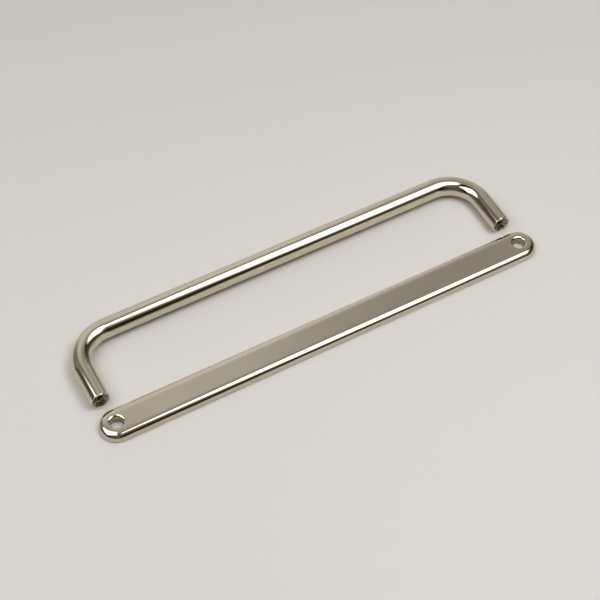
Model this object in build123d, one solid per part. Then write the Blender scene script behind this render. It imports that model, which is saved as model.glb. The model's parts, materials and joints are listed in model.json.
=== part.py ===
"""Bridge pull handle with its backplate, both lying flat on one surface.

The pull bar is one solid round rod, bent twice into a low bridge, with a tapped blind hole in
the end of each leg.  The backplate is one flat bar with round ends, a crowned upper face and
two clearance holes at the same spacing as the legs.  A screw comes through the door, through
the plate and into the leg.

All sizes are millimetres.  +X runs along the bar, the legs point to -Y, and +Z is up from the
surface that both pieces lie on.  The origin is the middle of the footprint, on that surface.
"""
import os
from math import asin, cos, degrees, radians, tan

from build123d import *

# Screw centres, the same on the bar and on the backplate
HOLE_SPACING = 160.0

# Pull bar
ROD_DIAMETER = 7.2
PROJECTION = 30.0            # leg end face to the outside of the grip
BEND_INSIDE_RADIUS = 10.0
LEG_END_ROUND = 0.35         # polished edge round the leg end face

# Tapped hole in each leg, M4 x 0.7, open to the thread's outer diameter
THREAD_DIAMETER = 4.0
THREAD_PITCH = 0.7
THREAD_DEPTH = 9.0           # leg end face to the last full thread
DRILL_RUN_OUT = 2.0          # plain tapping hole beyond the thread
DRILL_POINT_ANGLE = 118.0
THREAD_COUNTERSINK = 1.05    # depth and width of the 90 degree cone at the mouth

# Backplate
PLATE_WIDTH = 12.4
PLATE_THICKNESS = 3.2
SHOULDER_WIDTH = 3.15        # flat land to the edge, on each side
CROWN_RADIUS = 9.0           # gentle arc that leaves the land
EDGE_RADIUS = 2.2            # tight arc that turns down to the side wall
PLATE_EDGE_BREAK = 0.2       # chamfer along the underside
SCREW_CLEARANCE = 0.25       # round the screw, in the radius
HOLE_RIM_ROUND = 0.7         # soft polished rim on the crowned face
HOLE_BACK_CHAMFER = 0.35     # deburred rim on the underside

# How the two pieces lie beside each other
LAID_GAP = 3.6               # leg end faces to the near edge of the plate
LAID_SHIFT = 1.3             # the bar lies this far to -X of the plate

# Worked out from the sizes above
ROD_RADIUS = ROD_DIAMETER / 2
BEND_RADIUS = BEND_INSIDE_RADIUS + ROD_RADIUS
LEG_REACH = PROJECTION - ROD_RADIUS
HALF_SPACING = HOLE_SPACING / 2
HALF_WIDTH = PLATE_WIDTH / 2
LAND_HALF_WIDTH = HALF_WIDTH - SHOULDER_WIDTH
SCREW_HOLE_RADIUS = THREAD_DIAMETER / 2 + SCREW_CLEARANCE
FOOTPRINT_DEPTH = PROJECTION + LAID_GAP + PLATE_WIDTH
GRIP_Y = FOOTPRINT_DEPTH / 2 - ROD_RADIUS
PLATE_Y = HALF_WIDTH - FOOTPRINT_DEPTH / 2


def leg_sides():
    """X of the two legs, measured from the middle of the bar."""
    return (-HALF_SPACING, HALF_SPACING)


def bent_rod():
    """The solid rod along its bent centre line, with the grip on the X axis."""
    centre_line = FilletPolyline(
        (-HALF_SPACING, -LEG_REACH),
        (-HALF_SPACING, 0),
        (HALF_SPACING, 0),
        (HALF_SPACING, -LEG_REACH),
        radius=BEND_RADIUS,
    )
    section = Plane(centre_line @ 0, z_dir=centre_line % 0) * Circle(ROD_RADIUS)
    rod = sweep(section, path=centre_line)
    end_edges = rod.edges().filter_by(GeomType.CIRCLE).group_by(Axis.Y)[0]
    return fillet(end_edges, LEG_END_ROUND)


def tapped_hole():
    """The space of one tapped hole, mouth at the origin and running into +Z."""
    thread_radius = THREAD_DIAMETER / 2
    drill_radius = (THREAD_DIAMETER - THREAD_PITCH) / 2
    thread_run_in = thread_radius - drill_radius
    drill_depth = THREAD_DEPTH + thread_run_in + DRILL_RUN_OUT
    point_length = drill_radius / tan(radians(DRILL_POINT_ANGLE / 2))
    outline = Polyline(
        (0, 0),
        (thread_radius + THREAD_COUNTERSINK, 0),
        (thread_radius, THREAD_COUNTERSINK),
        (thread_radius, THREAD_DEPTH),
        (drill_radius, THREAD_DEPTH + thread_run_in),
        (drill_radius, drill_depth),
        (0, drill_depth + point_length),
        close=True,
    )
    return revolve(Plane.XZ * make_face(outline), Axis.Z)


def pull_bar():
    """The bent rod with a tapped hole up the middle of each leg, lying on its side."""
    bar = bent_rod()
    for leg_x in leg_sides():
        mouth = Plane((leg_x, -LEG_REACH, 0), z_dir=(0, 1, 0))
        bar -= mouth.location * tapped_hole()
    return Pos(-LAID_SHIFT, GRIP_Y, ROD_RADIUS) * bar


def plate_half_section():
    """Half of the plate's section: X from the middle to the edge, Z from the underside up.

    The land runs into the crown arc, and the crown arc into the edge arc, each tangent to the
    next.  crown_turn is the slope where the two arcs meet.
    """
    edge_run = SHOULDER_WIDTH - EDGE_RADIUS
    crown_turn = degrees(asin(edge_run / (CROWN_RADIUS - EDGE_RADIUS)))
    crown_centre_z = PLATE_THICKNESS - CROWN_RADIUS
    edge_centre_z = crown_centre_z + (CROWN_RADIUS - EDGE_RADIUS) * cos(radians(crown_turn))
    crown = CenterArc(
        (LAND_HALF_WIDTH, crown_centre_z), CROWN_RADIUS, 90 - crown_turn, crown_turn
    )
    edge = CenterArc(
        (HALF_WIDTH - EDGE_RADIUS, edge_centre_z), EDGE_RADIUS, 0, 90 - crown_turn
    )
    rest = Polyline(
        (LAND_HALF_WIDTH, PLATE_THICKNESS),
        (0, PLATE_THICKNESS),
        (0, 0),
        (HALF_WIDTH - PLATE_EDGE_BREAK, 0),
        (HALF_WIDTH, PLATE_EDGE_BREAK),
        (HALF_WIDTH, edge_centre_z),
    )
    return make_face([*crown.edges(), *edge.edges(), *rest.edges()])


def plate_blank():
    """The crowned bar between the hole centres, with a half turn of its section at each end."""
    half_section = plate_half_section()
    end = revolve(Plane.XZ * half_section, Axis.Z, 180)
    across = Plane((-HALF_SPACING, 0, 0), x_dir=(0, 1, 0), z_dir=(1, 0, 0))
    middle = extrude(across * (half_section + mirror(half_section, Plane.YZ)), HOLE_SPACING)
    right_end = Pos(HALF_SPACING, 0, 0) * Rot(0, 0, -90) * end
    left_end = Pos(-HALF_SPACING, 0, 0) * Rot(0, 0, 90) * end
    return middle + right_end + left_end


def screw_hole():
    """The space of one clearance hole through the plate, with its rounded rim."""
    rim_radius = SCREW_HOLE_RADIUS + HOLE_RIM_ROUND
    back_radius = SCREW_HOLE_RADIUS + HOLE_BACK_CHAMFER
    rim = CenterArc(
        (rim_radius, PLATE_THICKNESS - HOLE_RIM_ROUND), HOLE_RIM_ROUND, 90, 90
    )
    rest = Polyline(
        (SCREW_HOLE_RADIUS, PLATE_THICKNESS - HOLE_RIM_ROUND),
        (SCREW_HOLE_RADIUS, HOLE_BACK_CHAMFER),
        (back_radius, 0),
        (0, 0),
        (0, PLATE_THICKNESS),
        (rim_radius, PLATE_THICKNESS),
    )
    return revolve(Plane.XZ * make_face([*rim.edges(), *rest.edges()]), Axis.Z)


def backplate():
    """The crowned plate with its two screw holes, lying crown up in front of the legs."""
    plate = plate_blank()
    for hole_x in leg_sides():
        plate -= Pos(hole_x, 0, 0) * screw_hole()
    return Pos(0, PLATE_Y, 0) * plate


def main():
    """Write one STEP file for each piece."""
    os.makedirs("parts", exist_ok=True)
    pieces = {"pull_bar": pull_bar(), "backplate": backplate()}
    for name, piece in pieces.items():
        export_step(piece, f"parts/{name}.step")


if __name__ == "__main__":
    main()
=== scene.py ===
"""Dresses a polished nickel bridge pull and its backplate, and sets them in a small studio.

The pull bar is one bent round rod with a tapped hole in each leg end.  The backplate is one
crowned bar with round ends and two screw holes.  Both lie on a pale studio table under two
overhead softboxes.  Lengths are metres, and the object's own sizes are written in millimetres
times MM.
"""

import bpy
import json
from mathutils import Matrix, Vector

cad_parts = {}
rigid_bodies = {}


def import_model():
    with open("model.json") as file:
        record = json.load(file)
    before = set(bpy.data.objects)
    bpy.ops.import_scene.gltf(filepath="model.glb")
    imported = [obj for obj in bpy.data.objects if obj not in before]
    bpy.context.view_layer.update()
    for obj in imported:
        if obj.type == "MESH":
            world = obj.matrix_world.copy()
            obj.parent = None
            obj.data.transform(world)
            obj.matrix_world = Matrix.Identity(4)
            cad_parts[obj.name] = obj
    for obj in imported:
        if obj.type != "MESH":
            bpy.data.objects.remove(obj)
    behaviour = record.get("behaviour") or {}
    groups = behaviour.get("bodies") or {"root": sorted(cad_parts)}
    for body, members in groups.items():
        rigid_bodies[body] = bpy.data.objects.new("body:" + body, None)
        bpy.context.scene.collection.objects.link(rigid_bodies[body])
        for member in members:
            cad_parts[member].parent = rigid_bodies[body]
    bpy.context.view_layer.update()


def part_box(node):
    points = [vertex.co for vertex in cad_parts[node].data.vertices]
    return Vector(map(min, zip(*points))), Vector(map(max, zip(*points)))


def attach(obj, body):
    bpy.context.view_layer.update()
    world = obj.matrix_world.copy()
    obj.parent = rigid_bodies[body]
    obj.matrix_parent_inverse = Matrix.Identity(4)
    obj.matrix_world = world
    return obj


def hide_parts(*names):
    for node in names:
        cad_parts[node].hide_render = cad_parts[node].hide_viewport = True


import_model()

import json
import logging
import math
from dataclasses import dataclass, field
from enum import Enum
from typing import Any

import bmesh
import bpy
from mathutils import Matrix, Vector

BODY = "root"
MM = 0.001
WELD = 0.0005 * MM                  # points closer than this are one point
LOOKS_DOWN = -0.5                   # a face is underneath if its normal's Z is below this
STUDIO_TURN = math.radians(-29.8)   # the studio's front, from the object's front

log = logging.getLogger("bridge_pull")


# ---------------------------------------------------------------- shared helpers


def linear(hex_colour: str) -> tuple[float, float, float, float]:
    """Turn an sRGB hex colour into the linear values that a shader takes.

    The numbers are those of the sRGB curve, which is straight near black.

    Args:
        hex_colour: the colour as "#RRGGBB".

    Returns:
        Linear red, green and blue, and a full alpha.
    """
    parts = [int(hex_colour[i : i + 2], 16) / 255 for i in (1, 3, 5)]
    red, green, blue = (
        part / 12.92 if part <= 0.04045 else ((part + 0.055) / 1.055) ** 2.4
        for part in parts
    )
    return red, green, blue, 1.0


def add_node(tree: bpy.types.NodeTree, kind: str, links: dict[Any, Any] | None = None,
             **settings: Any) -> bpy.types.Node:
    """Add one node, set it and join its inputs.

    Args:
        tree: the tree that takes the node.
        kind: the node's type name.
        links: input name or number, to the output socket or the value that feeds it.
        settings: the node's own properties.

    Returns:
        The new node.
    """
    node = tree.nodes.new(kind)
    for name, value in settings.items():
        setattr(node, name, value)
    for key, source in (links or {}).items():
        socket = node.inputs[key]
        if isinstance(source, bpy.types.NodeSocket):
            tree.links.new(source, socket)
        else:
            socket.default_value = source
    return node


def new_material(name: str) -> tuple[bpy.types.Material, bpy.types.NodeTree]:
    """Make an empty material.

    Args:
        name: the finish that it stands for.

    Returns:
        The material and its empty node tree.
    """
    material = bpy.data.materials.new(name)
    material.use_nodes = True
    material.node_tree.nodes.clear()
    return material, material.node_tree


def heading_vector(degrees: float) -> tuple[float, float, float]:
    """Work out a level direction from its heading.

    Args:
        degrees: the heading, counted from +X towards +Y.

    Returns:
        The direction, one unit long.
    """
    angle = math.radians(degrees)
    return math.cos(angle), math.sin(angle), 0.0


@dataclass
class Former:
    """Draws a mesh by moving one loop of points, as a rod goes through a bending former.

    The points that were drawn last stay selected, so each call carries on from the one before.
    """

    name: str
    body: bpy.types.Object = field(init=False)

    def start_ring(self, centre: Vector, radius: float, steps: int) -> None:
        """Start with a ring that faces along Y.

        Args:
            centre: the middle of the ring.
            radius: its radius.
            steps: how many points it has.
        """
        bpy.ops.object.select_all(action="DESELECT")
        bpy.ops.mesh.primitive_circle_add(vertices=steps, radius=radius,
                                          rotation=(math.pi / 2, 0.0, 0.0), location=centre)
        self.open_mesh()

    def start_point(self, place: Vector) -> None:
        """Start with a single point.

        Args:
            place: where it goes.
        """
        bpy.ops.object.select_all(action="DESELECT")
        bpy.ops.mesh.primitive_plane_add(size=MM, location=place)
        self.open_mesh()
        bpy.ops.mesh.merge(type="CENTER")

    def next_point(self, place: Vector) -> None:
        """Leave what is drawn and go on from a new single point.

        Args:
            place: where it goes.
        """
        bpy.ops.mesh.select_all(action="DESELECT")
        bpy.ops.mesh.primitive_plane_add(size=MM, location=place)
        bpy.ops.mesh.merge(type="CENTER")

    def open_mesh(self) -> None:
        """Name the new object, apply its place and open it with every point selected."""
        self.body = bpy.context.object
        self.body.name = self.name
        self.body.data.name = self.name
        bpy.ops.object.transform_apply(location=True, rotation=True, scale=True)
        bpy.ops.object.mode_set(mode="EDIT")
        bpy.ops.mesh.select_mode(type="VERT")
        bpy.ops.mesh.select_all(action="SELECT")

    def push(self, x: float = 0.0, y: float = 0.0, z: float = 0.0) -> None:
        """Extrude what is selected straight on.

        Args:
            x: how far along X.
            y: how far along Y.
            z: how far along Z.
        """
        bpy.ops.mesh.extrude_region_move(TRANSFORM_OT_translate={"value": (x, y, z)})

    def turn(self, centre: Vector, angle: float, steps: int, axis: str = "Z") -> None:
        """Sweep what is selected round an axis.

        Args:
            centre: a point on the axis.
            angle: how far, in degrees, right-handed about the axis.
            steps: how many pieces the sweep has.
            axis: "X", "Y" or "Z".
        """
        direction = [1.0 if name == axis else 0.0 for name in "XYZ"]
        bpy.ops.mesh.spin(steps=steps, angle=-math.radians(angle), center=centre,
                          axis=direction)

    def ring_to(self, centre: Vector, grow: float) -> None:
        """Extrude the selected ring on the spot and give it another size.

        Args:
            centre: the ring's middle.
            grow: its new radius as a share of the old one.
        """
        self.push()
        bpy.ops.transform.resize(value=(grow, 1.0, grow), center_override=centre)

    def count(self) -> int:
        """How many points the open mesh has."""
        return len(bmesh.from_edit_mesh(self.body.data).verts)

    def pick_open_edges(self, height: float | None = None) -> None:
        """Select the edges that have a face on one side only.

        Args:
            height: leave out those at any other height.
        """
        bpy.ops.mesh.select_all(action="DESELECT")
        bpy.ops.mesh.select_non_manifold(extend=False, use_wire=False, use_boundary=True,
                                         use_multi_face=False, use_non_contiguous=False,
                                         use_verts=False)
        if height is None:
            return
        mesh = bmesh.from_edit_mesh(self.body.data)
        for point in mesh.verts:
            if abs(point.co.z - height) > WELD:
                point.select_set(False)
        mesh.select_flush(False)
        bmesh.update_edit_mesh(self.body.data)

    def finish(self, sharp_angle: float) -> bpy.types.Object:
        """Close the mesh, face it outward and smooth it.

        Args:
            sharp_angle: corners over this many degrees stay sharp.

        Returns:
            The finished object.
        """
        bpy.ops.mesh.select_all(action="SELECT")
        bpy.ops.mesh.remove_doubles(threshold=WELD)
        bpy.ops.mesh.normals_make_consistent(inside=False)
        bpy.ops.object.mode_set(mode="OBJECT")
        bpy.ops.object.shade_smooth_by_angle(angle=math.radians(sharp_angle))
        weights = self.body.modifiers.new("even_shading", "WEIGHTED_NORMAL")
        weights.keep_sharp = True
        bpy.ops.object.modifier_apply(modifier=weights.name)
        log.info("%s: %d points, %d faces", self.name, len(self.body.data.vertices),
                 len(self.body.data.polygons))
        return self.body


# ---------------------------------------------------------------- finishes


class Grade(Enum):
    """How far the brass was worked before it was plated, and whether painted shade darkens it."""

    POLISHED = "polished"
    MACHINED = "machined_with_painted_shade"


@dataclass(frozen=True)
class NickelPlate:
    """Bright nickel plate over brass, in one of two grades.

    The polished grade is, to the eye, a warm silver mirror: a little yellower than chrome, with
    the slow waviness of a buffing wheel, faint hairlines and a few soft finger marks.  The
    second grade is the same metal left as the drill and the saw cut it, so it is dull and
    scored, and the eye sees light and shade on it but no picture.  Its tone is painted darker
    and greyer than the metal's own, as painted shade in the bores, the hole walls and underneath.

    Each size is that of one feature of a pattern, on the metal.  Real hairlines and cutter scores
    are a few hundredths of a millimetre wide, which is too fine to show in the render, so both
    are drawn as coarse as they need to show.  The drill's wave is drawn deeper than a real one
    for the same reason.
    """

    grade: Grade
    tone: str
    tone_worn: str
    roughness: float
    roughness_worn: float
    wave_length: float               # one swell and dip, from the wheel or from the drill
    wave_height: float
    grain_size: float                # the plate's own grain, or the cutter's scores
    grain_height: float
    tone_patch: float = 22.22 * MM
    mark_size: float = 9.09 * MM     # finger marks
    hairline_length: float = 25.0 * MM
    hairline_width: float = 0.6667 * MM
    hairline_share: float = 0.35     # how much hairlines add to the wear that marks give
    wear_start: float = 0.62         # up to this wear the finish has its full shine
    wear_full: float = 0.92          # from this wear on it has its worn roughness

    def build(self) -> bpy.types.Material:
        """Make the material.

        Returns:
            The material, named for its grade.
        """
        material, tree = new_material(f"{self.grade.value}_nickel_plate")
        place = add_node(tree, "ShaderNodeTexCoord").outputs["Object"]
        patches = self.noise(tree, place, self.tone_patch, detail=3.0)
        # The mix node's colours are its inputs 6 and 7 and its output 2
        tone = add_node(tree, "ShaderNodeMix",
                        {0: patches, 6: linear(self.tone), 7: linear(self.tone_worn)},
                        data_type="RGBA").outputs[2]
        stretched = self.hairline_space(tree, place)
        hairlines = self.noise(tree, stretched, size=1.0, detail=2.0)
        marks = self.noise(tree, place, self.mark_size, detail=5.0)
        wear = add_node(tree, "ShaderNodeMath",
                        {0: hairlines, 1: self.hairline_share, 2: marks},
                        operation="MULTIPLY_ADD").outputs[0]
        rough = add_node(tree, "ShaderNodeMapRange",
                         {"Value": wear, "From Min": self.wear_start,
                          "From Max": self.wear_full, "To Min": self.roughness,
                          "To Max": self.roughness_worn},
                         interpolation_type="SMOOTHSTEP").outputs["Result"]
        waves = self.noise(tree, place, self.wave_length, detail=0.0)
        wave = add_node(tree, "ShaderNodeBump",
                        {"Height": waves, "Strength": 1.0,
                         "Distance": self.wave_height}).outputs["Normal"]
        grains = self.noise(tree, place, self.grain_size, detail=2.0)
        grain = add_node(tree, "ShaderNodeBump",
                         {"Height": grains, "Strength": 1.0, "Distance": self.grain_height,
                          "Normal": wave}).outputs["Normal"]
        surface = add_node(tree, "ShaderNodeBsdfPrincipled",
                           {"Base Color": tone, "Metallic": 1.0, "Roughness": rough,
                            "Normal": grain})
        add_node(tree, "ShaderNodeOutputMaterial", {"Surface": surface.outputs["BSDF"]})
        return material

    def hairline_space(self, tree: bpy.types.NodeTree,
                       place: bpy.types.NodeSocket) -> bpy.types.NodeSocket:
        """Stretch the pattern along X, the way that the wheel ran along both pieces.

        Args:
            tree: the material's node tree.
            place: the coordinates in metres.

        Returns:
            Coordinates in which a hairline is one unit long and one wide.
        """
        across = 1 / self.hairline_width
        return add_node(tree, "ShaderNodeVectorMath",
                        {0: place, 1: (1 / self.hairline_length, across, across)},
                        operation="MULTIPLY").outputs["Vector"]

    def noise(self, tree: bpy.types.NodeTree, place: bpy.types.NodeSocket, size: float,
              detail: float) -> bpy.types.NodeSocket:
        """Add a noise pattern.

        Args:
            tree: the material's node tree.
            place: the coordinates it is drawn in.
            size: the size of one feature, in those coordinates.
            detail: how many finer layers it has.

        Returns:
            The pattern's value, from 0 to 1.
        """
        return add_node(tree, "ShaderNodeTexNoise",
                        {"Vector": place, "Scale": 1 / size, "Detail": detail}).outputs["Fac"]


POLISHED_NICKEL = NickelPlate(
    grade=Grade.POLISHED, tone="#D8D0BE", tone_worn="#CFC6B3",
    roughness=0.015, roughness_worn=0.07,
    wave_length=16.67 * MM, wave_height=0.02 * MM,
    grain_size=1.111 * MM, grain_height=0.0003 * MM,
)
# The rough finish for the bores, the hole walls and the underside. Its darker tones are painted
# shade; its roughness and scores are the metal's own.
MACHINED_NICKEL_WITH_PAINTED_SHADE = NickelPlate(
    grade=Grade.MACHINED, tone="#B0A592", tone_worn="#85796A",
    roughness=0.18, roughness_worn=0.36,
    wave_length=1.333 * MM, wave_height=0.16 * MM,
    grain_size=0.3333 * MM, grain_height=0.008 * MM,
)


# ---------------------------------------------------------------- pieces


@dataclass(frozen=True)
class ScrewThread:
    """The tapped hole in a leg end: cone, right-handed thread, plain run-out and drill point.

    root_flat and crest_flat are the flats of the thread's section, as shares of the pitch.
    """

    major_radius: float = 2.0 * MM
    pitch: float = 0.7 * MM
    depth: float = 9.0 * MM
    run_out: float = 2.0 * MM
    countersink: float = 1.05 * MM
    point_angle: float = 118.0
    root_flat: float = 1 / 8
    crest_flat: float = 1 / 4
    rings_per_turn: int = 12

    @property
    def groove(self) -> float:
        """How deep the thread is cut into the tapping hole's wall."""
        return self.pitch / 2

    @property
    def drill_radius(self) -> float:
        """Radius of the tapping hole."""
        return self.major_radius - self.groove

    @property
    def mouth_radius(self) -> float:
        """Radius of the cone at the leg end face."""
        return self.major_radius + self.countersink

    @property
    def plain_depth(self) -> float:
        """From the leg end face to the start of the drill point."""
        return self.depth + self.groove + self.run_out

    @property
    def point_length(self) -> float:
        """Length of the drill point."""
        return self.drill_radius / math.tan(math.radians(self.point_angle / 2))

    def radius_at(self, depth: float, turn: float) -> float:
        """Work out how far the bore's wall is from its middle.

        Args:
            depth: how far in from the leg end face.
            turn: the direction round the bore, as a share of a full turn.

        Returns:
            The radius of the cone or of the thread, whichever is wider there.
        """
        place = depth / self.pitch - turn
        from_root = abs(place - round(place))
        flank = (1 - self.root_flat - self.crest_flat) / 2
        rise = min(1.0, max(0.0, (from_root - self.root_flat / 2) / flank))
        fade = min(1.0, max(0.0, (self.depth - depth) / self.groove))
        thread = self.drill_radius + self.groove * (1.0 - rise) * fade
        return max(self.mouth_radius - depth, thread)


@dataclass
class PullBar:
    """The round rod, bent twice, with a tapped hole in each leg end."""

    node: str = "pull_bar"
    bend_radius: float = 13.6 * MM
    end_round: float = 0.35 * MM
    thread: ScrewThread = ScrewThread()
    ring_steps: int = 96
    bend_steps: int = 48
    round_steps: int = 8
    sharp_angle: float = 32.0
    piece: bpy.types.Object = field(init=False)

    def build(self) -> bpy.types.Object:
        """Draw the rod from one leg end to the other, and then the holes in both ends.

        Returns:
            The finished piece.
        """
        low, high = (Vector(corner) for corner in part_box(self.node))
        radius = (high.z - low.z) / 2
        left, right = low.x + radius, high.x - radius
        end_y = low.y + self.end_round
        bend_y = high.y - radius - self.bend_radius
        former = Former("pull_bar_polished")
        former.start_ring(Vector((left, end_y, radius)), radius, self.ring_steps)
        former.push(y=bend_y - end_y)
        former.turn(Vector((left + self.bend_radius, bend_y, radius)), -90, self.bend_steps)
        former.push(x=right - left - 2 * self.bend_radius)
        former.turn(Vector((right - self.bend_radius, bend_y, radius)), -90, self.bend_steps)
        former.push(y=end_y - bend_y)
        self.bore_leg_end(former, Vector((right, end_y, radius)), radius)
        former.pick_open_edges()
        self.bore_leg_end(former, Vector((left, end_y, radius)), radius)
        self.piece = former.finish(self.sharp_angle)
        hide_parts(self.node)
        return self.piece

    def bore_leg_end(self, former: Former, start: Vector, radius: float) -> None:
        """Round the end of one leg, and bore and tap the hole in it.

        Args:
            former: the mesh, with the leg's last ring selected.
            start: the middle of that ring.
            radius: its radius.
        """
        mouth = start - Vector((0.0, self.end_round, 0.0))
        wide, y = radius, start.y
        for step in range(1, self.round_steps + 1):
            angle = math.radians(90 * step / self.round_steps)
            next_wide = radius - self.end_round * (1 - math.cos(angle))
            next_y = start.y - self.end_round * math.sin(angle)
            former.ring_to(start, next_wide / wide)
            bpy.ops.transform.translate(value=(0.0, next_y - y, 0.0))
            wide, y = next_wide, next_y
        former.ring_to(mouth, self.thread.mouth_radius / wide)
        first = former.count()
        rings = round(self.thread.depth / self.thread.pitch * self.thread.rings_per_turn)
        for _ in range(rings):
            former.push(y=self.thread.depth / rings)
        self.shape_bore(former, first, mouth)
        former.push(y=self.thread.plain_depth - self.thread.depth)
        former.push(y=self.thread.point_length)
        bpy.ops.mesh.merge(type="CENTER")

    def shape_bore(self, former: Former, first: int, mouth: Vector) -> None:
        """Move the bore's points, from the first one on, to the cone and the thread.

        Args:
            former: the mesh.
            first: the number of the bore's first point.
            mouth: the middle of the leg end face.
        """
        mesh = bmesh.from_edit_mesh(former.body.data)
        mesh.verts.ensure_lookup_table()
        for point in mesh.verts[first:]:
            arm = Vector((point.co.x - mouth.x, 0.0, point.co.z - mouth.z))
            depth = point.co.y - mouth.y
            turn = math.atan2(arm.z, arm.x) / (2 * math.pi)
            point.co += arm * (self.thread.radius_at(depth, turn) / arm.length - 1)
        bmesh.update_edit_mesh(former.body.data)

    def dress(self, polished: bpy.types.Material, machined_with_painted_shade: bpy.types.Material) -> None:
        """Give the rod its polished finish, and the bores the rough one, darkened as painted
        shade.

        Args:
            polished: the finish outside.
            machined_with_painted_shade: the finish inside the holes.
        """
        self.piece.data.materials.append(polished)
        self.piece.data.materials.append(machined_with_painted_shade)
        low, high = (Vector(corner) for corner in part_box(self.node))
        radius = (high.z - low.z) / 2
        bore_tip = low.y + self.thread.plain_depth + self.thread.point_length
        # Faces in the bores take the second finish, whose darker tone is painted shade.
        for face in self.piece.data.polygons:
            leg_x = low.x + radius if face.center.x < 0 else high.x - radius
            reach = math.hypot(face.center.x - leg_x, face.center.z - radius)
            if reach < self.thread.mouth_radius and face.center.y < bore_tip:
                face.material_index = 1
        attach(self.piece, BODY)


@dataclass
class Backplate:
    """The crowned bar with round ends and two screw holes.

    The holes are 0.1 mm smaller in radius than the solid's, and their rims are rounded by
    0.15 mm more, so that the light on the rims lies where it does on the real plate.
    """

    node: str = "backplate"
    land_half_width: float = 3.05 * MM
    crown_radius: float = 9.0 * MM
    edge_radius: float = 2.2 * MM
    edge_break: float = 0.2 * MM
    hole_radius: float = 2.15 * MM
    rim_round: float = 0.85 * MM
    back_chamfer: float = 0.35 * MM
    end_steps: int = 64              # in half a turn
    crown_steps: int = 6
    edge_steps: int = 24
    rim_steps: int = 16
    sharp_angle: float = 30.0
    piece: bpy.types.Object = field(init=False)

    def build(self) -> bpy.types.Object:
        """Draw the skin round the plate, then both holes and the flats between.

        Returns:
            The finished piece.
        """
        low, high = (Vector(corner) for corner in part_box(self.node))
        half_width, top = (high.y - low.y) / 2, high.z
        middle_y = (low.y + high.y) / 2
        left, right = low.x + half_width, high.x - half_width
        former = Former("backplate_polished")
        self.draw_side(former, Vector((left, middle_y, top)), half_width)
        former.push(x=right - left)
        former.turn(Vector((right, middle_y, 0.0)), 180, self.end_steps)
        former.push(x=left - right)
        former.turn(Vector((left, middle_y, 0.0)), 180, self.end_steps)
        for hole_x in (left, right):
            self.draw_hole(former, Vector((hole_x, middle_y, top)), half_width)
        self.fill_flats(former, top)
        self.piece = former.finish(self.sharp_angle)
        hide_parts(self.node)
        return self.piece

    def draw_side(self, former: Former, start: Vector, half_width: float) -> None:
        """Draw the near side's profile: crown, edge, side wall and the broken bottom edge.

        Args:
            former: the mesh to start.
            start: the middle of the left hole, on the land.
            half_width: from the plate's middle line to its side wall.
        """
        land_edge = start - Vector((0.0, self.land_half_width, 0.0))
        edge_run = half_width - self.land_half_width - self.edge_radius
        turn = math.asin(edge_run / (self.crown_radius - self.edge_radius))
        drop = self.crown_radius - (self.crown_radius - self.edge_radius) * math.cos(turn)
        crown_centre = land_edge - Vector((0.0, 0.0, self.crown_radius))
        edge_centre = Vector((start.x, start.y - half_width + self.edge_radius, start.z - drop))
        former.start_point(land_edge)
        former.turn(crown_centre, math.degrees(turn), self.crown_steps, "X")
        former.turn(edge_centre, 90 - math.degrees(turn), self.edge_steps, "X")
        former.push(z=self.edge_break - edge_centre.z)
        former.push(y=self.edge_break, z=-self.edge_break)
        bpy.ops.mesh.select_all(action="SELECT")

    def draw_hole(self, former: Former, middle: Vector, half_width: float) -> None:
        """Draw one screw hole, with the flats round it, and spin it into a ring.

        Args:
            former: the open mesh.
            middle: the middle of the hole, on the land.
            half_width: from the plate's middle line to its side wall.
        """
        rim_radius = self.hole_radius + self.rim_round
        back_radius = self.hole_radius + self.back_chamfer
        former.next_point(middle - Vector((0.0, self.land_half_width, 0.0)))
        former.push(y=self.land_half_width - rim_radius)
        former.turn(middle - Vector((0.0, rim_radius, self.rim_round)), -90, self.rim_steps, "X")
        former.push(z=self.rim_round + self.back_chamfer - middle.z)
        former.push(y=-self.back_chamfer, z=-self.back_chamfer)
        former.push(y=back_radius + self.edge_break - half_width)
        bpy.ops.mesh.select_linked()
        former.turn(middle, 360, 2 * self.end_steps)

    def fill_flats(self, former: Former, top: float) -> None:
        """Weld the open edges and fill the land and the underside between the holes.

        Args:
            former: the open mesh.
            top: the height of the land.
        """
        bpy.ops.mesh.select_all(action="SELECT")
        bpy.ops.mesh.remove_doubles(threshold=WELD)
        for height in (0.0, top):
            former.pick_open_edges(height)
            bpy.ops.mesh.edge_face_add()

    def dress(self, polished: bpy.types.Material, machined_with_painted_shade: bpy.types.Material) -> None:
        """Give the plate its mirror finish, and a rough one with painted shade below and in the
        holes.

        Args:
            polished: the finish on the crowned face and the edges.
            machined_with_painted_shade: the finish underneath and inside the holes.
        """
        self.piece.data.materials.append(polished)
        self.piece.data.materials.append(machined_with_painted_shade)
        low, high = (Vector(corner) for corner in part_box(self.node))
        half_width = (high.y - low.y) / 2
        middle_y = (low.y + high.y) / 2
        # The hole walls and the underside take the second finish, whose darker tone is painted
        # shade.
        for face in self.piece.data.polygons:
            hole_x = low.x + half_width if face.center.x < 0 else high.x - half_width
            reach = math.hypot(face.center.x - hole_x, face.center.y - middle_y)
            in_hole = reach < self.hole_radius + WELD and face.center.z < high.z - self.rim_round
            if in_hole or face.normal.z < LOOKS_DOWN:
                face.material_index = 1
        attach(self.piece, BODY)


# ---------------------------------------------------------------- studio


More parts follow.
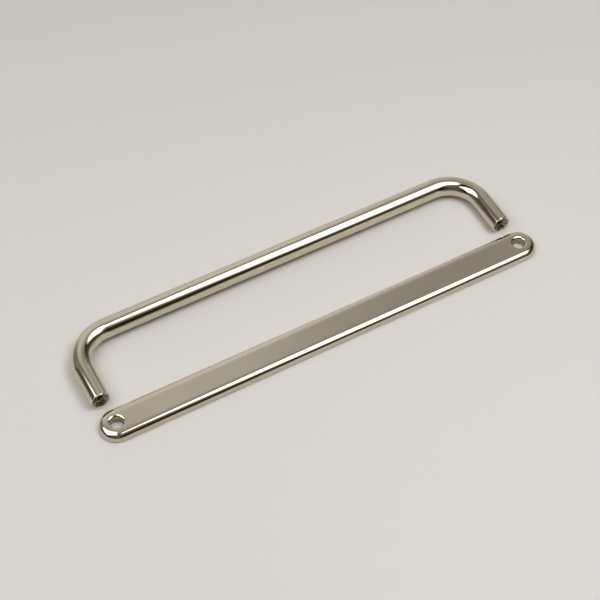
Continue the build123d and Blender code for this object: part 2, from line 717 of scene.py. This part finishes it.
@dataclass(frozen=True)
class StudioTable:
    """A table top in matt laminate, warm white to the eye and with only a soft sheen."""

    name: str = "pale_table"
    finish: str = "matt_laminate"
    tone: str = "#D4D0CC"
    roughness: float = 0.45
    size: float = 6.0

    def build(self) -> bpy.types.Object:
        """Make the table top with its material.

        Returns:
            The table top.
        """
        bpy.ops.object.select_all(action="DESELECT")
        bpy.ops.mesh.primitive_plane_add(size=self.size, location=(0, 0, 0))
        top = bpy.context.object
        top.name = self.name
        material, tree = new_material(self.finish)
        surface = add_node(tree, "ShaderNodeBsdfPrincipled",
                           {"Base Color": linear(self.tone), "Roughness": self.roughness})
        add_node(tree, "ShaderNodeOutputMaterial", {"Surface": surface.outputs["BSDF"]})
        top.data.materials.append(material)
        return top


@dataclass(frozen=True)
class Feather:
    """One feathered edge of a softbox cloth, as a straight line in the lamp's plane.

    heading points from over the middle of the table out across the edge: 0 is to the studio's
    right, and 90 is away from the camera.  The cloth is full bright at reach minus fade, and
    dark at reach plus fade.
    """

    heading: float
    reach: float
    fade: float


@dataclass(frozen=True)
class Softbox:
    """One overhead panel lamp with a feathered cloth, laid out from the middle of the table.

    left, right, near and far are its sides, in the studio's directions.  The cloth gives
    cloth_level all over, and middle_level on top of that where it is clear of its edges.  A
    higher middle_falloff ends that extra light further from an edge.
    """

    name: str
    left: float
    right: float
    near: float
    far: float
    height: float
    cloth_level: float
    middle_level: float
    edges: tuple[Feather, ...]
    middle_falloff: float = 3.0

    def build(self) -> bpy.types.Object:
        """Make the lamp over the table.

        Returns:
            The lamp.
        """
        width, depth = self.right - self.left, self.far - self.near
        lamp = bpy.data.lights.new(self.name, "AREA")
        lamp.shape = "RECTANGLE"
        lamp.size, lamp.size_y = width, depth
        lamp.energy = math.pi * width * depth    # a radiance of 1 where the level is 1
        lamp.use_nodes = True
        level = self.cloth_light(lamp.node_tree, width, depth)
        emission = add_node(lamp.node_tree, "ShaderNodeEmission", {"Strength": level})
        add_node(lamp.node_tree, "ShaderNodeOutputLight",
                 {"Surface": emission.outputs["Emission"]})
        centre = Vector(((self.left + self.right) / 2, (self.near + self.far) / 2, self.height))
        holder = bpy.data.objects.new(self.name, lamp)
        bpy.context.scene.collection.objects.link(holder)
        holder.matrix_world = Matrix.Rotation(STUDIO_TURN, 4, "Z") @ Matrix.Translation(centre)
        return holder

    def cloth_light(self, tree: bpy.types.NodeTree, width: float,
                    depth: float) -> bpy.types.NodeSocket:
        """Add the nodes that say how bright each place on the cloth is.

        Args:
            tree: the lamp's node tree.
            width: the lamp's size from left to right.
            depth: its size from near to far.

        Returns:
            The level of light.
        """
        tree.nodes.clear()
        across = add_node(tree, "ShaderNodeNewGeometry").outputs["Parametric"]
        place = add_node(tree, "ShaderNodeVectorMath",
                         {0: across, 1: (width, depth, 0.0), 2: (self.left, self.near, 0.0)},
                         operation="MULTIPLY_ADD").outputs["Vector"]
        cover = None
        for edge in self.edges:
            reach = add_node(tree, "ShaderNodeVectorMath",
                             {0: place, 1: heading_vector(edge.heading)},
                             operation="DOT_PRODUCT").outputs["Value"]
            cloth = add_node(tree, "ShaderNodeMapRange",
                             {"Value": reach, "From Min": edge.reach + edge.fade,
                              "From Max": edge.reach - edge.fade},
                             interpolation_type="SMOOTHSTEP").outputs["Result"]
            cover = cloth if cover is None else add_node(
                tree, "ShaderNodeMath", {0: cover, 1: cloth}, operation="MULTIPLY").outputs[0]
        middle = add_node(tree, "ShaderNodeMath", {0: cover, 1: self.middle_falloff},
                          operation="POWER").outputs[0]
        cloth_part = add_node(tree, "ShaderNodeMath", {0: cover, 1: self.cloth_level},
                              operation="MULTIPLY").outputs[0]
        return add_node(tree, "ShaderNodeMath",
                        {0: middle, 1: self.middle_level, 2: cloth_part},
                        operation="MULTIPLY_ADD").outputs[0]


@dataclass(frozen=True)
class Card:
    """A soft patch of light in the room, on a wall or the ceiling.

    heading is its middle, counted as a Feather's is, and spread is how far it reaches to each
    side, in degrees.  low and high are its lower and upper edge, each as the sine of the angle
    above the table.  turn_fade and rise_fade are how far its edges fade out to each side.
    """

    name: str
    heading: float
    spread: float
    low: float
    high: float
    level: float
    turn_fade: float
    rise_fade: float


ROOM_CARDS = (
    Card("far wall, left of the middle", heading=114, spread=21, low=-0.1, high=0.86,
         level=0.52, turn_fade=13, rise_fade=0.14),
    Card("far wall, right of the middle", heading=77, spread=12, low=-0.1, high=0.64,
         level=0.20, turn_fade=6, rise_fade=0.16),
    Card("far corner on the left", heading=141, spread=28, low=-0.1, high=0.88,
         level=0.20, turn_fade=5, rise_fade=0.18),
    Card("far wall, up to the ceiling", heading=80, spread=27, low=-0.1, high=1.02,
         level=0.34, turn_fade=13, rise_fade=0.05),
    Card("right wall", heading=5, spread=45, low=-0.1, high=0.62,
         level=0.05, turn_fade=10, rise_fade=0.1),
    Card("right wall, low down", heading=-3, spread=43, low=-0.1, high=0.16,
         level=0.34, turn_fade=3, rise_fade=0.12),
    Card("left wall, low down", heading=197, spread=22, low=-0.1, high=0.12,
         level=0.38, turn_fade=3, rise_fade=0.12),
    Card("near wall, low down", heading=270, spread=49, low=-0.1, high=0.08,
         level=0.36, turn_fade=3, rise_fade=0.12),
    Card("ceiling, near and to the right", heading=310, spread=60, low=0.66, high=1.1,
         level=0.14, turn_fade=20, rise_fade=0.08),
    Card("left wall", heading=184, spread=26, low=0.14, high=0.84,
         level=0.06, turn_fade=14, rise_fade=0.14),
    Card("near wall, behind the camera", heading=262, spread=26, low=0.14, high=0.7,
         level=0.09, turn_fade=14, rise_fade=0.14),
)


@dataclass(frozen=True)
class StudioRoom:
    """The room round the table: light walls on the far side, and dim ones behind the camera."""

    cards: tuple[Card, ...] = ROOM_CARDS
    tint: str = "#FFFEFC"
    base_level: float = 0.025        # what the room gives where there is no card
    base_tint: str = "#FFD9AE"

    def build(self) -> bpy.types.World:
        """Make the room's light.

        Returns:
            The world that holds it.
        """
        world = bpy.data.worlds.new("studio_room")
        bpy.context.scene.world = world
        world.use_nodes = True
        tree = world.node_tree
        tree.nodes.clear()
        look = add_node(tree, "ShaderNodeTexCoord").outputs["Generated"]
        turned = add_node(tree, "ShaderNodeVectorRotate",
                          {"Vector": look, "Angle": -STUDIO_TURN},
                          rotation_type="Z_AXIS").outputs["Vector"]
        rise = add_node(tree, "ShaderNodeSeparateXYZ", {"Vector": turned}).outputs["Z"]
        flat = add_node(tree, "ShaderNodeVectorMath", {0: turned, 1: (1.0, 1.0, 0.0)},
                        operation="MULTIPLY").outputs["Vector"]
        level_look = add_node(tree, "ShaderNodeVectorMath", {0: flat},
                              operation="NORMALIZE").outputs["Vector"]
        total = 0.0
        for card in self.cards:
            shown = self.card_cover(tree, card, level_look, rise)
            total = add_node(tree, "ShaderNodeMath", {0: shown, 1: card.level, 2: total},
                             operation="MULTIPLY_ADD").outputs[0]
        dark = [self.base_level * part for part in linear(self.base_tint)[:3]]
        colour = add_node(tree, "ShaderNodeVectorMath",
                          {0: total, 1: linear(self.tint)[:3], 2: dark},
                          operation="MULTIPLY_ADD").outputs["Vector"]
        background = add_node(tree, "ShaderNodeBackground", {"Color": colour})
        add_node(tree, "ShaderNodeOutputWorld", {"Surface": background.outputs["Background"]})
        return world

    def card_cover(self, tree: bpy.types.NodeTree, card: Card, level_look: bpy.types.NodeSocket,
                   rise: bpy.types.NodeSocket) -> bpy.types.NodeSocket:
        """Add the nodes of one card.

        Args:
            tree: the world's node tree.
            card: the card.
            level_look: the look's direction, laid level.
            rise: the sine of the look's angle above the table.

        Returns:
            How much of the card shows, from 0 to 1.
        """
        facing = add_node(tree, "ShaderNodeVectorMath",
                          {0: level_look, 1: heading_vector(card.heading)},
                          operation="DOT_PRODUCT").outputs["Value"]
        away = add_node(tree, "ShaderNodeMath", {0: facing}, operation="ARCCOSINE").outputs[0]
        steps = (
            (away, math.radians(card.spread + card.turn_fade),
             math.radians(card.spread - card.turn_fade)),
            (rise, card.low - card.rise_fade, card.low + card.rise_fade),
            (rise, card.high + card.rise_fade, card.high - card.rise_fade),
        )
        cover = None
        for value, dark, full in steps:
            edge = add_node(tree, "ShaderNodeMapRange",
                            {"Value": value, "From Min": dark, "From Max": full},
                            interpolation_type="SMOOTHSTEP").outputs["Result"]
            cover = edge if cover is None else add_node(
                tree, "ShaderNodeMath", {0: cover, 1: edge}, operation="MULTIPLY").outputs[0]
        return cover


@dataclass(frozen=True)
class StudioCamera:
    """The camera, which looks down on the table from the front left."""

    place: tuple[float, float, float] = (-0.1600, -0.2775, 0.4347)
    aim: tuple[float, float, float] = (-0.0011, 0.0003, 0.0)
    roll: float = math.radians(1.14)
    lens_mm: float = 91.45
    sensor_mm: float = 36.0
    nearest: float = 0.01
    farthest: float = 20.0

    def build(self) -> bpy.types.Object:
        """Make the camera and set it as the scene's.

        Returns:
            The camera.
        """
        data = bpy.data.cameras.new("studio_camera")
        data.lens = self.lens_mm
        data.sensor_width = self.sensor_mm
        data.clip_start, data.clip_end = self.nearest, self.farthest
        camera = bpy.data.objects.new("studio_camera", data)
        bpy.context.scene.collection.objects.link(camera)
        look = Vector(self.aim) - Vector(self.place)
        turn = look.to_track_quat("-Z", "Y").to_matrix().to_4x4()
        camera.matrix_world = (Matrix.Translation(self.place) @ turn
                               @ Matrix.Rotation(self.roll, 4, "Z"))
        bpy.context.scene.camera = camera
        return camera


SOFTBOX_RIGHT = Softbox(
    "softbox_right", left=-0.25, right=0.8, near=-0.6, far=0.4, height=0.5,
    cloth_level=2.8, middle_level=3.6,
    edges=(Feather(20.0, 0.40, 0.18), Feather(102.0, 0.13, 0.075),
           Feather(168.0, -0.0135, 0.028), Feather(246.0, 0.05, 0.14)),
)
# A little lower than the right one: where two lamps overlap at one height, one hides the other
SOFTBOX_LEFT = Softbox(
    "softbox_left", left=-0.85, right=0.1, near=-0.65, far=0.25, height=0.48,
    cloth_level=2.4, middle_level=0.0,
    edges=(Feather(8.0, -0.095, 0.02), Feather(90.0, 0.128, 0.02), Feather(101.0, 0.215, 0.015),
           Feather(172.0, 0.62, 0.10), Feather(292.0, 0.20, 0.04)),
)


def main() -> None:
    """Build and dress both pieces, and build the studio round them."""
    logging.basicConfig(level=logging.INFO, format="%(name)s: %(message)s")
    bpy.context.scene.view_settings.view_transform = "Standard"
    polished = POLISHED_NICKEL.build()
    # The rough finish for the bores, the hole walls and the underside, with painted shade in its
    # darker tone.
    machined_with_painted_shade = MACHINED_NICKEL_WITH_PAINTED_SHADE.build()
    for part in (PullBar(), Backplate()):
        piece = part.build()
        part.dress(polished, machined_with_painted_shade)
        log.info("%s: dressed, in the place of %s", piece.name, part.node)
    for item in (StudioTable(), StudioRoom(), SOFTBOX_RIGHT, SOFTBOX_LEFT, StudioCamera()):
        log.info("studio: %s", item.build().name)


if __name__ == "__main__":
    main()
